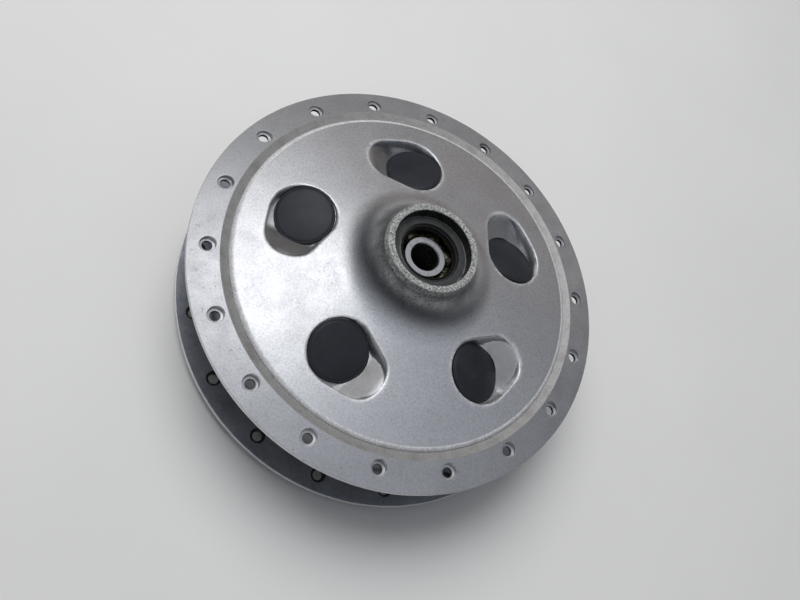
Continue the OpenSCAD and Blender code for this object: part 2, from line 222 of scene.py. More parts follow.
def from_scoop(points, i):
    c, s = math.cos(scoop_turn(i)), math.sin(scoop_turn(i))
    moved = np.array(points, float)
    moved[:, 0] += CAP_PITCH_R
    moved[:, :2] = moved[:, :2] @ np.array([[c, s], [-s, c]])
    return moved


def cap_plane(p, offset):
    """Height of the plane parallel to a cap's rim, offset along its normal."""
    return CAP_Z + (offset - CAP_NORMAL[0] * p[:, 0] - CAP_NORMAL[1] * p[:, 1]) / CAP_NORMAL[2]


def cap_radius(p, offset):
    """Distance from the cap's axis, on that plane."""
    on_plane = np.column_stack([p, cap_plane(p, offset) - CAP_Z])
    return np.linalg.norm(on_plane - offset * CAP_NORMAL, axis=1)


def cap_points(radius, offset, count=CAP_HOLE_POINTS):
    """A circle about the cap's axis, as points in the scoop's axes."""
    turn = np.linspace(0, 2 * math.pi, count, endpoint=False)[:, None]
    ring = offset * CAP_NORMAL + radius * (np.cos(turn) * CAP_DOWNHILL + np.sin(turn) * CAP_ACROSS)
    return ring + [0, 0, CAP_Z]


def ramp_z(p):
    return RAMP_TOP_Z - DOME_FALL * p[:, 0] + RAMP_SLOPE * SLANT * (p[:, 1] - RAMP_RUN)


def mouth_distance(p):
    """Signed distance to the mouth's outline, two circles and their tangents."""
    ahead = p[:, 1] - MOUTH_Y
    across = np.abs(p[:, 0] - MOUTH_X - TIP_SHIFT * np.clip(ahead / MOUTH_RUN, 0, 1))
    b = (MOUTH_R - TIP_R) / MOUTH_RUN
    a = math.sqrt(1 - b * b)
    along = -b * across + a * ahead
    side = a * across + b * ahead - MOUTH_R
    return np.where(
        along < 0,
        np.hypot(across, ahead) - MOUTH_R,
        np.where(along > a * MOUTH_RUN, np.hypot(across, ahead - MOUTH_RUN) - TIP_R, side),
    )


def mouth_ring(grow, spacing):
    """Points on the mouth's outline, grown on all sides."""
    lean = math.degrees(math.asin((MOUTH_R - TIP_R) / MOUTH_RUN))
    line = np.vstack([
        arc((MOUTH_X, MOUTH_Y), MOUTH_R + grow, lean, -180 - lean, 240),
        arc((MOUTH_X + TIP_SHIFT, MOUTH_Y + MOUTH_RUN), TIP_R + grow, 180 - lean, lean, 160),
    ])
    return resampled(line, spacing)


def from_mouths(points):
    """Signed distance from plan points to the nearest mouth's outline."""
    return np.min([mouth_distance(to_scoop(points, i)) for i in range(SCOOPS)], axis=0)


def from_caps(points, offset):
    """Distance from plan points to the nearest cap's axis, on the plane at that offset."""
    return np.min([cap_radius(to_scoop(points, i), offset) for i in range(SCOOPS)], axis=0)


def dome_height(points):
    """Height of the dome with its scoops, at plan points."""
    top = dome_z(np.hypot(points[:, 0], points[:, 1]))
    height = top.copy()
    for i in range(SCOOPS):
        p = to_scoop(points, i)
        seat, ramp = cap_plane(p, -CAP_T), ramp_z(p) + RIDGE_BACK * RAMP_SLOPE * SLANT
        recess = cap_radius(p, -CAP_T) - RECESS_R
        rise = smooth_step((recess + 0.05) / 0.2)
        floor = seat + (smooth_max(seat, ramp, RAMP_BLEND) - seat) * rise
        trough = smooth_min(top, floor, RIDGE_BLEND)
        up_wall = np.clip((mouth_distance(p) - WALL_FOOT) / WALL_RUN, 0, 1)
        scooped = top + (trough - top) * (1 - up_wall)**3
        near = np.where(recess < SCOOP_REACH, np.minimum(height, scooped), height)
        height = np.where(recess < 0, np.minimum(height, seat), near)
    return height


def web_height(points):
    """Height of the underside of the dome, with the backs of the scoops."""
    web = web_under_z(np.hypot(points[:, 0], points[:, 1]))
    height = web.copy()
    for i in range(SCOOPS):
        p = to_scoop(points, i)
        spot = cap_plane(p, -CAP_T - BACKING_T)
        floor = smooth_max(spot, ramp_z(p) - BACKING_T, 1.0)
        back = floor + BACK_STEEP * np.maximum(mouth_distance(p) - BACKING_T, 0)
        blended = smooth_min(height, back, BACK_BLEND)
        height = np.where(back < web + BACK_BLEND, blended, height)
        cut = smooth_step((SPOT_R + 0.15 - cap_radius(p, -CAP_T - BACKING_T)) / 0.3)
        height += np.maximum(spot - height, 0) * cut
    return height


# ---- A closed surface, gathered from strips and filled zones ----

class Surface:
    """Points and faces of one closed mesh, in millimetres."""

    def __init__(self):
        self.points = []
        self.count = 0
        self.faces = []
        self.finishes = []

    def add(self, points):
        """Adds points and returns their numbers."""
        points = np.asarray(points, float)
        first = self.count
        self.points.append(points)
        self.count += len(points)
        return np.arange(first, self.count)

    def ring(self, r, z, count=SEGMENTS):
        plan = circle((0, 0), r, count)
        return self.add(np.column_stack([plan, np.full(count, z)]))

    def all_points(self):
        return np.vstack(self.points)

    def plan(self, numbers):
        return self.all_points()[numbers][:, :2]

    def strip(self, near, far, finish, flip=False):
        """Joins two closed rings that have as many points."""
        near_next, far_next = np.roll(near, -1), np.roll(far, -1)
        quads = np.column_stack([near, far, far_next, near_next])
        if flip:
            quads = quads[:, ::-1]
        self.faces += quads.tolist()
        self.finishes += [finish] * len(quads)

    def chain(self, rings, finish, flip=False):
        for near, far in zip(rings, rings[1:]):
            self.strip(near, far, finish, flip)

    def lathe(self, line, finish, first=None):
        """A turned surface along a line of (radius, height) points; returns its last ring."""
        rings = [self.ring(r, z) for r, z in (line if first is None else line[1:])]
        if first is not None:
            rings.insert(0, first)
        self.chain(rings, finish)
        return rings[0], rings[-1]

    def fill(self, loops, free, height, keep, finish, up=True):
        """Fills the plan between loops with triangles, through free points at their heights."""
        known = np.concatenate(loops)
        plan = np.vstack([self.plan(known), free])
        numbers = np.concatenate([
            known,
            self.add(np.column_stack([free, height(free)])),
        ])
        edges, at = [], 0
        for loop in loops:
            n = len(loop)
            edges += [(at + k, at + (k + 1) % n) for k in range(n)]
            at += n
        found = delaunay_2d_cdt([Vector(p) for p in plan.tolist()], edges, [], 0, 1e-6)
        back = [orig[0] for orig in found[3]]
        triangles = np.array([[back[k] for k in face] for face in found[2]])
        corners = plan[triangles]
        cross = np.cross(corners[:, 1] - corners[:, 0], corners[:, 2] - corners[:, 0])
        triangles[cross < 0] = triangles[cross < 0][:, ::-1]
        kept = triangles[keep(corners.mean(axis=1)) & (np.abs(cross) > 1e-7)]
        if not up:
            kept = kept[:, ::-1]
        self.faces += numbers[kept].tolist()
        self.finishes += [finish] * len(kept)

    def to_object(self, name, materials, sharp=40):
        """Makes the object, with one material for each number used as a finish."""
        mesh = bpy.data.meshes.new(name)
        mesh.from_pydata((self.all_points() * MM).tolist(), [], self.faces)
        for material in materials:
            mesh.materials.append(material)
        mesh.polygons.foreach_set("material_index", self.finishes)
        mesh.polygons.foreach_set("use_smooth", [True] * len(mesh.polygons))
        mesh.set_sharp_from_angle(angle=math.radians(sharp))
        mesh.update()
        obj = bpy.data.objects.new(name, mesh)
        bpy.context.scene.collection.objects.link(obj)
        return obj


def spread(groups, apart):
    """Joins groups of plan points, and drops each that lies too near an earlier one."""
    kept = np.vstack(groups)
    tree = KDTree(len(kept))
    for k, point in enumerate(kept.tolist()):
        tree.insert((*point, 0), k)
    tree.balance()
    gaps = np.concatenate([np.full(len(group), gap) for group, gap in zip(groups, apart)])
    dropped = np.zeros(len(kept), bool)
    for k, point in enumerate(kept.tolist()):
        for _, other, _ in tree.find_range((*point, 0), gaps[k]):
            if other < k and not dropped[other]:
                dropped[k] = True
                break
    return kept, dropped


def polar_grid(inner, outer, spacing):
    """Points on rings from inner to outer, each ring turned half a step from the last."""
    rings = []
    radii = np.arange(inner, outer, spacing)
    for k, r in enumerate(radii):
        count = int(2 * math.pi * r / spacing)
        rings.append(circle((0, 0), r, count, start=(k % 2) * math.pi / count))
    return np.vstack(rings)


# ---- The casting ----

# Finishes, by number. The shoulder's is painted pale as a highlight; the bores' and the flanges' inner
# faces' are painted dark as shade.
POLISHED, MACHINED, NOSE_FACE, CAST, SEAT, BORE_SHADE, SHOULDER_HIGHLIGHT, FLANK, INNER_SHADED = range(9)


def section_lines():
    """The turned parts of the casting's section, in order round it."""
    flare_c = (NOSE_R + FLARE_R, dome_z(NOSE_R + FLARE_R) + FLARE_R * SLANT)
    top_turn = 180 + math.degrees(math.asin((flare_c[1] - NOSE_Z + 0.7) / FLARE_R))
    end_turn = 270 - math.degrees(math.atan(DOME_FALL))
    flare = arc(flare_c, FLARE_R, top_turn, end_turn, 40)
    brow_r = 0.7
    brow = arc((flare[0][0] - brow_r, NOSE_Z - brow_r), brow_r, 90, 0, 5)

    ring_z = UPPER_RIM_Z + RING_RISE
    hollow_z = ring_z - HOLLOW_DEPTH
    shoulder_r = SHOULDER_OUT_R - SHOULDER_R
    shoulder_c = (shoulder_r, dome_z(shoulder_r) - SHOULDER_R * SLANT)
    foot_turn = math.degrees(math.asin((hollow_z - shoulder_c[1]) / SHOULDER_R))
    shoulder = arc(shoulder_c, SHOULDER_R, 90 - math.degrees(math.atan(DOME_FALL)), foot_turn, 14)
    hollow = softened([shoulder[-2], shoulder[-1], (RING_R, ring_z), (RING_R + 0.6, ring_z)], 0.4, 4)

    inner_c = (BOSS_FOOT_R + BOSS_FILLET,
               web_under_z(BOSS_FOOT_R + BOSS_FILLET) - BOSS_FILLET * SLANT)
    corner_c = (DRUM_TOP_R - CORNER_R, web_under_z(DRUM_TOP_R - CORNER_R) - CORNER_R * SLANT)
    web_turn = 90 - math.degrees(math.atan(DOME_FALL))
    lip_z = LOWER_RIM_Z - RING_RISE
    rim_in = FLANGE_R - 0.5
    return {
        "bearing_seat": softened([
            (SHAFT_PASS_R, LOWER_RACE_HIGH.z), (SHAFT_PASS_R, RACE_LOW.z),
            (SEAT_R, RACE_LOW.z), (SEAT_R, SEAL_HIGH.z - 1)], 0.3),
        "nose_wall": np.array([(SEAT_R, z) for z in np.linspace(SEAL_HIGH.z - 1, NOSE_Z - 0.7, 16)]),
        "nose_end": np.vstack([
            softened([(SEAT_R, NOSE_Z - 0.7), (SEAT_R + 0.1, NOSE_Z - 0.15), (SEAT_R + 0.6, NOSE_Z),
                      (SEAT_R + 1, NOSE_Z)], 0.3),
            [(r, NOSE_Z) for r in np.arange(SEAT_R + 1.25, brow[0][0], 0.25)],
            brow,
            flare[1:5],
        ]),
        "flare": flare[4:],
        "shoulder": shoulder[:-2],
        "hollow": np.vstack([
            hollow[:-1],
            [(RING_R + 0.3, ring_z - 0.3 * RING_SLOPE)],
        ]),
        "upper_rim": softened([
            (rim_in, UPPER_RIM_Z + 0.5 * RING_SLOPE), (FLANGE_R, UPPER_RIM_Z),
            (FLANGE_R, UPPER_BACK_Z), (rim_in, UPPER_BACK_Z)], 0.45),
        "barrel": np.vstack([
            arc((BARREL_R + BARREL_FILLET, UPPER_BACK_Z - BARREL_FILLET), BARREL_FILLET, 90, 180, 8),
            arc((BARREL_R + BARREL_FILLET, LOWER_FACE_Z + BARREL_FILLET), BARREL_FILLET, 180, 270, 8),
        ]),
        "lower_rim": softened([
            (rim_in, LOWER_FACE_Z), (FLANGE_R, LOWER_FACE_Z), (FLANGE_R, LOWER_RIM_Z),
            (rim_in, LOWER_RIM_Z - 0.5 * RING_SLOPE)], 0.45),
        "drum": np.vstack([
            softened([
                (RING_R + 0.3, lip_z + 0.3 * RING_SLOPE), (RING_R, lip_z), (LIP_R, lip_z), (LIP_R, 0),
                (LINER_R, 0), (LINER_R, LINER_HIGH.z), (DRUM_TOP_R, LINER_HIGH.z),
                (DRUM_TOP_R, corner_c[1])], 0.4),
            arc(corner_c, CORNER_R, 0, web_turn, 10)[1:],
        ]),
        "boss": np.vstack([
            arc(inner_c, BOSS_FILLET, web_turn, 180, 12),
            softened([
                (BOSS_FOOT_R, inner_c[1] - 0.5), (BOSS_R, BOSS_END_Z), (SEAT_R, BOSS_END_Z),
                (SEAT_R, LOWER_RACE_HIGH.z), (SHAFT_PASS_R, LOWER_RACE_HIGH.z)], 0.5),
        ]),
    }


def in_ring(inner, outer):
    """A test that plan points lie between two radii."""
    def test(points):
        r = np.hypot(points[:, 0], points[:, 1])
        return (r > inner) & (r < outer)
    return test


def outside_cap_holes(radii, offset):
    """A test that plan points lie between two radii and outside the holes behind the caps."""
    inside = in_ring(*radii)
    hole_r = CAP_HOLE_R * math.cos(math.pi / CAP_HOLE_POINTS) - 0.01
    return lambda points: inside(points) & (from_caps(points, offset) > hole_r)


def zone_points(groups, apart, radii, offset):
    """Plan points for a zone round the caps' holes, clear of its edges and of each other."""
    points, dropped = spread(groups, apart)
    r = np.hypot(points[:, 0], points[:, 1])
    clear = (r > radii[0] + 0.6) & (r < radii[1] - 0.5)
    return points[~dropped & clear & (from_caps(points, offset) > CAP_HOLE_R + 0.5)]


def roughened(surface, rings, size, height):
    """Moves the points of corroded rings in and out, by a noise with grains of one size."""
    points = surface.all_points()
    surface.points = [points]
    for k in np.concatenate(rings):
        place = Vector(points[k])
        shift = fractal(place / size, 1.0, 2.0, 3) * height
        outward = Vector((place.x, place.y, 0)).normalized()
        points[k] += np.array(outward * 0.5 + Vector((0, 0, 1))) * min(shift, 0.3 * height)


def spoke_zone(surface, near, far, holes, centres, hole_r, height, finish, up):
    """A flange's face round its spoke holes."""
    radii = np.sort([np.hypot(*surface.plan(near)[0]), np.hypot(*surface.plan(far)[0])])
    rounds = [circle(c, hole_r + out, HOLE_POINTS) for c in centres for out in (0.3, 0.8, 1.6)]
    grid = polar_grid(radii[0] + 1.2, radii[1] - 0.9, 1.4)
    free = np.vstack([*rounds, grid])
    gap = np.linalg.norm(free[:, None] - centres[None], axis=2).min(axis=1)
    r = np.hypot(free[:, 0], free[:, 1])
    is_grid = np.arange(len(free)) >= sum(map(len, rounds))
    keep = (r > radii[0] + 0.4) & (r < radii[1] - 0.4) & (~is_grid | (gap > hole_r + 2.5))
    inside = in_ring(*radii)

    def kept(points):
        from_hole = np.linalg.norm(points[:, None] - centres[None], axis=2).min(axis=1)
        return inside(points) & (from_hole > hole_r * math.cos(math.pi / HOLE_POINTS) - 0.01)

    surface.fill([near, far, *holes], free[keep], height, kept, finish, up)


def spoke_hole(surface, centre, face_height, back_z, way):
    """One spoke's hole. way is 1 if its head lies above, -1 if below. Returns its end loops."""
    head_z = face_height(np.array([centre]))[0] - way * HEAD_DEPTH
    elbow_z = back_z + way * ELBOW_DEPTH
    loops = []
    for turn in (90, 60, 30, 0):
        r = HEAD_R + HEAD_BRIM * (1 - math.cos(math.radians(turn)))
        drop = HEAD_BRIM * (1 - math.sin(math.radians(turn)))
        plan = circle(centre, r, HOLE_POINTS)
        loops.append(surface.add(np.column_stack([plan, face_height(plan) - way * drop])))
    recess = softened([(HEAD_R, head_z + way * 0.6), (HEAD_R, head_z),
                       (SPOKE_HOLE_R + 0.1, head_z), (SPOKE_HOLE_R, head_z - way * 0.1)], 0.25)
    through = softened([(SPOKE_HOLE_R, head_z - way * 0.2), (SPOKE_HOLE_R, elbow_z),
                        (ELBOW_R, elbow_z), (ELBOW_R, back_z), (ELBOW_R + 0.3, back_z)], 0.25)
    # The through bore takes the finish that is painted black as shade.
    for line, finish in ((recess, SEAT), (through, BORE_SHADE)):
        for r, z in line:
            plan = circle(centre, r, HOLE_POINTS)
            loops.append(surface.add(np.column_stack([plan, np.full(HOLE_POINTS, z)])))
        surface.chain(loops[-len(line) - 1:] if finish == BORE_SHADE else loops, finish, flip=way > 0)
    return loops[0], loops[-1]


def upper_face(points):
    return UPPER_RIM_Z + RING_SLOPE * (FLANGE_R - np.hypot(points[:, 0], points[:, 1]))


def lower_face(points):
    return LOWER_RIM_Z - RING_SLOPE * (FLANGE_R - np.hypot(points[:, 0], points[:, 1]))


def level(z):
    return lambda points: np.full(len(points), z)


def flange(surface, outer_pair, inner_pair, face_height, back_z, spoke_r, turn, way):
    """Both faces of a flange, each between its pair of rings, and the holes through it."""
    centres = circle((0, 0), spoke_r, SPOKES, start=math.radians(turn))
    ends = [spoke_hole(surface, c, face_height, back_z, way) for c in centres]
    heads, elbows = [list(loops) for loops in zip(*ends)]
    spoke_zone(surface, *outer_pair, heads, centres, HEAD_R + HEAD_BRIM, face_height, MACHINED, way > 0)
    # The inner faces take a finish painted dark as shade.
    spoke_zone(surface, *inner_pair, elbows, centres, ELBOW_R + 0.3, level(back_z), INNER_SHADED, way < 0)


def dome_zone(surface, near, far, cap_loops):
    """The dome round its scoops."""
    radii = [np.hypot(*surface.plan(ring)[0]) for ring in (near, far)]
    fine, coarse = [], []
    for i in range(SCOOPS):
        for grow in (*np.arange(-1.87, 1.7, 0.17), *np.arange(1.9, 5, 0.45)):
            fine.append(from_scoop(mouth_ring(grow, 0.62), i))
        for out in (-0.12, 0.03, 0.18, 0.5, 0.9, 1.4):
            fine.append(from_scoop(cap_points(RECESS_R + out, -CAP_T, 170), i)[:, :2])
        for radius in (CAP_HOLE_R + 1.2, CAP_HOLE_R + 2.6):
            coarse.append(from_scoop(cap_points(radius, -CAP_T, 90), i)[:, :2])
        for grow in np.arange(-11, -2, 0.75):
            coarse.append(from_scoop(mouth_ring(grow, 0.9), i))
    grid = polar_grid(radii[0] + 1.4, radii[1] - 0.8, 1.5)
    groups = [np.vstack(fine), np.vstack(coarse), grid[from_mouths(grid) > 5.5]]
    free = zone_points(groups, (0.1, 0.5, 0.6), radii, -CAP_T)
    kept = outside_cap_holes(radii, -CAP_T)
    surface.fill([near, far, *cap_loops], free, dome_height, kept, POLISHED)


def web_zone(surface, near, far, cap_loops):
    """The underside of the dome, with the scoops' backs."""
    radii = [np.hypot(*surface.plan(ring)[0]) for ring in (far, near)]
    offset = -CAP_T - BACKING_T
    fine = []
    for i in range(SCOOPS):
        for grow in (-1.2, -0.6, -0.2, 0.1, 0.4, 0.7, 1.0, 1.4, 1.9, 2.6):
            fine.append(from_scoop(mouth_ring(BACKING_T + grow, 0.9), i))
        for radius in (CAP_HOLE_R + 1.2, SPOT_R - 0.2, SPOT_R, SPOT_R + 0.2, SPOT_R + 0.9):
            fine.append(from_scoop(cap_points(radius, offset, 120), i)[:, :2])
    groups = [np.vstack(fine), polar_grid(radii[0] + 1.5, radii[1] - 1, 1.8)]
    free = zone_points(groups, (0.12, 0.8), radii, offset)
    kept = outside_cap_holes(radii, offset)
    surface.fill([near, far, *cap_loops], free, web_height, kept, CAST, up=False)


def build_casting(materials):
    """The whole casting as one closed mesh."""
    surface = Surface()
    lines = section_lines()
    first, seat_top = surface.lathe(lines["bearing_seat"], SEAT)
    # The nose's inside wall is painted black as shade.
    _, wall_top = surface.lathe(lines["nose_wall"], BORE_SHADE, first=seat_top)
    corroded_from = surface.count
    _, nose_out = surface.lathe(lines["nose_end"], NOSE_FACE, first=wall_top)
    corroded = np.arange(corroded_from, nose_out[0])
    _, flare_end = surface.lathe(lines["flare"], POLISHED, first=nose_out)
    roughened(surface, [corroded], 0.9, 0.22)
    # The shoulder's finish is painted pale as a highlight.
    shoulder, shoulder_foot = surface.lathe(lines["shoulder"], SHOULDER_HIGHLIGHT)
    flank = np.vstack([lines["shoulder"][-1:], lines["hollow"]])
    _, ring_in = surface.lathe(flank, FLANK, first=shoulder_foot)
    rim_top, rim_back = surface.lathe(lines["upper_rim"], MACHINED)
    barrel_top, barrel_low = surface.lathe(lines["barrel"], CAST)
    low_top, low_back = surface.lathe(lines["lower_rim"], MACHINED)
    drum_low, drum_top = surface.lathe(lines["drum"], SEAT)
    boss_top, boss_end = surface.lathe(lines["boss"][:-1], CAST)
    surface.strip(boss_end, first, SEAT)

    flange(surface, (ring_in, rim_top), (barrel_top, rim_back), upper_face, UPPER_BACK_Z,
           SPOKE_R, 0, 1)
    flange(surface, (drum_low, low_back), (barrel_low, low_top), lower_face, LOWER_FACE_Z,
           LOWER_SPOKE_R, LOWER_TURN, -1)

    upper_loops, lower_loops = [], []
    for i in range(SCOOPS):
        upper = surface.add(from_scoop(cap_points(CAP_HOLE_R, -CAP_T), i))
        lower = surface.add(from_scoop(cap_points(CAP_HOLE_R, -CAP_T - BACKING_T), i))
        surface.strip(upper, lower, SEAT, flip=True)
        upper_loops.append(upper)
        lower_loops.append(lower)
    dome_zone(surface, flare_end, shoulder, upper_loops)
    web_zone(surface, drum_top, boss_top, lower_loops)
    casting = surface.to_object("hub_casting", materials)
    outline = from_mouths(surface.all_points()[:, :2])
    for name, share in (("in_scoop", smooth_step((-0.2 - outline) / SCOOP_FADE)),
                        ("brim", np.exp(-((outline - BRIM_OUT) / BRIM_WIDTH)**2))):
        casting.data.attributes.new(name, "FLOAT", "POINT").data.foreach_set("value", share)
    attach(casting, "hub")
    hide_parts("hub_shell")


def cap_line():
    """Half section of a scoop's cap: (radius, offset along its axis) from crown to underside."""
    crown_r = (CAP_R**2 + CAP_CROWN**2) / (2 * CAP_CROWN)
    rim_line = CAP_R - CAP_SHOULDER - 0.3
    inner = [(r, math.sqrt(crown_r**2 - r**2) - crown_r + 0.8) for r in np.linspace(0, rim_line - 0.15, 14)]
    edge_z = inner[-1][1]
    groove = [(rim_line, edge_z - 0.14), (rim_line + 0.15, edge_z - 0.02)]
    rim = arc((CAP_R - CAP_SHOULDER, edge_z - CAP_SHOULDER), CAP_SHOULDER, 86, 0, 9).tolist()
    under = softened([
        (CAP_R, edge_z - CAP_SHOULDER - 0.05), (CAP_R, -CAP_T), (COLLAR_R, -CAP_T),
        (COLLAR_R, -CAP_T - BACKING_T - 0.3),
        (COLLAR_R + COLLAR_LIP, -CAP_T - BACKING_T - 0.6), (COLLAR_R, -CAP_T - BACKING_T - 2.4),
        (COLLAR_IN_R, -CAP_T - BACKING_T - 2.4), (COLLAR_IN_R, -CAP_T), (0, -CAP_T)], 0.25).tolist()
    return inner + groove + rim + under


def build_cap(i, material):
    """A push-in cap of a scoop."""
    surface = Surface()
    line = cap_line()
    rings = [surface.add(from_scoop(cap_points(r, offset), i)) for r, offset in line[1:-1]]
    surface.chain(rings, 0)
    for (_, offset), ring, flip in ((line[0], rings[0], False), (line[-1], rings[-1], True)):
        middle = surface.add(from_scoop(cap_points(0, offset, 1), i))[0]
        turned = np.roll(ring, -1)
        pairs = zip(turned, ring) if flip else zip(ring, turned)
        surface.faces += [[int(middle), int(a), int(b)] for a, b in pairs]
        surface.finishes += [0] * len(ring)
    node = f"scoop_cap_{i + 1}"
    cap = surface.to_object(f"{node}_shaped", [material])
    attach(cap, "hub")
    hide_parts(node)


# ---- Materials ----

class Finish:
    """A material, whose nodes are added by short calls. Grain sizes are in millimetres."""

    def __init__(self, name, metallic=1.0, **values):
        self.material = bpy.data.materials.new(name)
        self.material.use_nodes = True
        self.tree = self.material.node_tree
        self.shader = self.tree.nodes["Principled BSDF"]
        self.shader.inputs["Metallic"].default_value = metallic
        for socket, value in values.items():
            self.shader.inputs[socket.replace("_", " ").title()].default_value = value
        self.place = self.add("ShaderNodeTexCoord").outputs["Object"]
        self.polar = None

    def add(self, kind, inputs=None, **settings):
        node = self.tree.nodes.new(kind)
        for key, value in settings.items():
            setattr(node, key, value)
        for key, value in (inputs or {}).items():
            self.feed(node.inputs[key], value)
        return node

    def feed(self, socket, value):
        if isinstance(value, bpy.types.NodeSocket):
            self.tree.links.new(value, socket)
        else:
            socket.default_value = value

    def noise(self, size, detail=3, place=None, roughness=0.55, stretch=(1, 1, 1)):
        """Noise from 0 to 1, with grains of that size."""
        scaled = self.add("ShaderNodeMapping", {"Vector": place or self.place,
                                                "Scale": tuple(k / (size * MM) for k in stretch)})
        node = self.add("ShaderNodeTexNoise", {
            "Vector": scaled.outputs[0], "Scale": 1.0, "Detail": detail, "Roughness": roughness})
        return node.outputs["Fac"]

    def cells(self, size):
        """Distance to the nearest of scattered points, that far apart."""
        node = self.add("ShaderNodeTexVoronoi", {"Vector": self.place, "Scale": 1 / (size * MM)})
        return node.outputs["Distance"]

    def around_axle(self):
        """Place as (radius, angle as a length, height), for turned surfaces."""
        if self.polar is None:
            split = self.add("ShaderNodeSeparateXYZ", {"Vector": self.place}).outputs
            flat = self.add("ShaderNodeCombineXYZ", {"X": split["X"], "Y": split["Y"]}).outputs[0]
            self.radius = self.add("ShaderNodeVectorMath", {0: flat}, operation="LENGTH").outputs["Value"]
            turn = self.math("ARCTAN2", split["Y"], split["X"])
            self.polar = self.add("ShaderNodeCombineXYZ", {
                "X": self.radius, "Y": self.math("MULTIPLY", turn, 0.1), "Z": split["Z"]}).outputs[0]
        return self.polar

    def math(self, operation, a, b=0.0):
        return self.add("ShaderNodeMath", {0: a, 1: b}, operation=operation).outputs[0]

    def span(self, value, low, high, to_low=0.0, to_high=1.0):
        """value from low to high, as to_low to to_high."""
        node = self.add("ShaderNodeMapRange", {
            "Value": value, "From Min": low, "From Max": high, "To Min": to_low, "To Max": to_high})
        return node.outputs[0]

    def mix(self, share, a, b):
        node = self.add("ShaderNodeMix", data_type="RGBA")
        for socket, value in zip((node.inputs[0], node.inputs[6], node.inputs[7]), (share, a, b)):
            self.feed(socket, (*value, 1.0) if isinstance(value, tuple) else value)
        return node.outputs[2]

    def bump(self, height, depth, before=None):
        """Bump from a height of 0 to 1, that many millimetres deep."""
        node = self.add("ShaderNodeBump", {"Height": height, "Strength": 1.0, "Distance": depth * MM})
        if before is not None:
            self.feed(node.inputs["Normal"], before)
        return node.outputs[0]

    def done(self, colour, roughness, normal):
        self.feed(self.shader.inputs["Base Color"], colour)
        self.feed(self.shader.inputs["Roughness"], roughness)
        self.feed(self.shader.inputs["Normal"], normal)
        return self.material


def polished_aluminium():
    """The dome: once polished, now dull, with fine dark pits in drifts.

    The scoops are darker and rougher inside, their brims are worn pale and painted light as a highlight,
    and the dome darkens towards the foot of the nose. The first two follow the shares that build_casting
    stores.
    """
    f = Finish("polished_aluminium")
    drift = f.span(f.noise(26, 4), 0.40, 0.66)
    pit = f.math("MULTIPLY", f.span(f.cells(1.0), 0.36, 0.2), f.span(f.noise(2.6, 3), 0.52, 0.64))
    pit = f.math("MULTIPLY", pit, drift)
    grain = f.noise(1.2, 4, roughness=0.8)
    tone = f.mix(f.span(f.noise(40, 3), 0.35, 0.65), (0.93, 0.935, 0.95), (0.86, 0.865, 0.88))
    tone = f.mix(f.span(grain, 0.44, 0.66, 0.0, 0.6), tone, (0.50, 0.51, 0.53))
    in_scoop = f.add("ShaderNodeAttribute", attribute_name="in_scoop").outputs["Fac"]
    cast = f.mix(f.span(f.noise(9, 4), 0.48, 0.72), (0.56, 0.555, 0.545), (0.40, 0.38, 0.35))
    tone = f.mix(f.math("MULTIPLY", in_scoop, 0.75), tone, cast)
    brim = f.add("ShaderNodeAttribute", attribute_name="brim").outputs["Fac"]
    # Painted highlight, with wear: the brim is mixed towards near-white, less metallic aluminium.
    worn_and_highlight = f.math("MULTIPLY", brim, f.span(grain, 0.35, 0.6, 1.0, 0.3))
    worn_and_highlight = f.math("MULTIPLY", worn_and_highlight, f.span(f.noise(7, 3), 0.38, 0.6, 0.25, 1.0))
    tone = f.mix(worn_and_highlight, tone, (0.97, 0.975, 0.98))
    f.feed(f.shader.inputs["Metallic"], f.span(worn_and_highlight, 0, 1, 1, 0.45))
    tone = f.mix(f.math("MULTIPLY", pit, 0.55), tone, (0.17, 0.17, 0.175))
    f.around_axle()
    speck = f.math("MULTIPLY", f.span(f.noise(1.2, 3, roughness=0.7), 0.56, 0.62),
                   f.span(f.radius, 0.036, 0.029))
    # Darker towards the foot of the nose, by radius, broken up by noise.
    foot_darkening = f.math("MULTIPLY", f.span(f.radius, 0.043, 0.033), f.span(f.noise(12, 3), 0.3, 0.6, 0.5, 0.8))
    tone = f.mix(foot_darkening, tone, (0.17, 0.175, 0.185))
    colour = f.mix(f.math("MULTIPLY", speck, 0.8), tone, (0.09, 0.095, 0.07))
    roughness = f.span(f.noise(12, 4), 0.3, 0.7, 0.27, 0.38)
    roughness = f.math("ADD", roughness, f.math("MULTIPLY", in_scoop, 0.1))
    normal = f.bump(grain, 0.11)
    normal = f.bump(f.span(pit, 0, 1, 1, 0), 0.05, normal)
    return f.done(colour, roughness, normal)


def shoulder_highlight_aluminium():
    """The shoulder round the dome, granular, worn and painted pale as a highlight."""
    f = Finish("shoulder_highlight_aluminium", metallic=0.35)
    grain = f.noise(1.1, 4, roughness=0.8)
    # Painted highlight, with wear: a pale, half-diffuse colour all round the shoulder.
    tone = f.mix(f.span(grain, 0.40, 0.62), (0.62, 0.625, 0.63), (0.97, 0.975, 0.98))
    dirt = f.math("MULTIPLY", f.span(f.noise(6, 4), 0.52, 0.75), 0.4)
    colour = f.mix(dirt, tone, (0.36, 0.345, 0.32))
    roughness = f.span(grain, 0.3, 0.7, 0.36, 0.48)
    return f.done(colour, roughness, f.bump(grain, 0.05))


def flank_aluminium():
    """The flank of the hollow round the dome, as cast and only roughly ground."""
    f = Finish("flank_aluminium", metallic=0.85)
    grain = f.noise(0.8, 4, roughness=0.7)
    scratch = f.noise(0.6, 3, stretch=(1, 0.12, 1))
    tone = f.mix(f.span(grain, 0.4, 0.68), (0.60, 0.59, 0.575), (0.40, 0.39, 0.375))
    dirt = f.math("MULTIPLY", f.span(f.noise(9, 4), 0.48, 0.72), 0.45)
    colour = f.mix(dirt, tone, (0.27, 0.25, 0.225))
    roughness = f.span(scratch, 0.3, 0.7, 0.38, 0.5)
    return f.done(colour, roughness, f.bump(scratch, 0.05, f.bump(grain, 0.07)))


